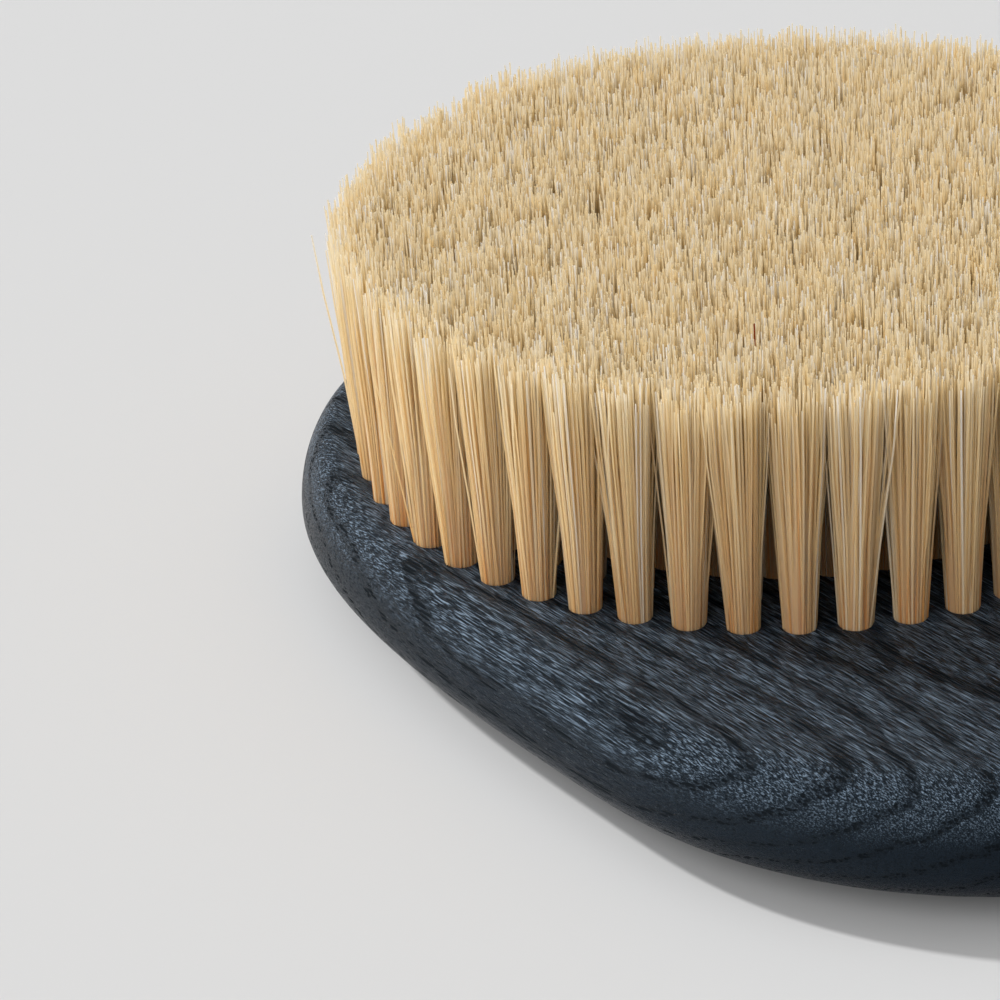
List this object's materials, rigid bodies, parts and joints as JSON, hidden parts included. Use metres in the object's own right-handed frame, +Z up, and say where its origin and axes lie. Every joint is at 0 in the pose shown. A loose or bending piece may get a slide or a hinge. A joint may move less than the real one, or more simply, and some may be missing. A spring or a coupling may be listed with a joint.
{
  "type": "beard brush",
  "caption": "Palm-held beard brush: an egg-shaped stained ash block with a round, flat-trimmed field of pale natural bristle tufts set in blind holes.",
  "frame": {"origin": "on the flat base, under the middle of the block's length and width", "axes": "+Z up out of the bristle tips, with the block lying on its back; +X along the grain towards the long overhang; the brush is symmetric across Y"},
  "size_m": [0.1032, 0.0836, 0.0315],
  "materials": {
    "stained_ash": "open-pored ash stained blue-black, thin satin oil finish",
    "bristle": "pale cream natural bristle, glossy fibres, flat trimmed",
    "anchor_wire": "flat drawn wire"
  },
  "bodies": {
    "root": {"palm_block": "stained_ash", "bristle_ring_0": "bristle", "bristle_ring_1": "bristle", "bristle_ring_2": "bristle", "bristle_ring_3": "bristle", "bristle_ring_4": "bristle", "bristle_ring_5": "bristle", "bristle_ring_6": "bristle", "bristle_ring_7": "bristle", "bristle_ring_8": "bristle", "anchor_ring_0": "anchor_wire", "anchor_ring_1": "anchor_wire", "anchor_ring_2": "anchor_wire", "anchor_ring_3": "anchor_wire", "anchor_ring_4": "anchor_wire", "anchor_ring_5": "anchor_wire", "anchor_ring_6": "anchor_wire", "anchor_ring_7": "anchor_wire", "anchor_ring_8": "anchor_wire"}
  },
  "joints": []
}
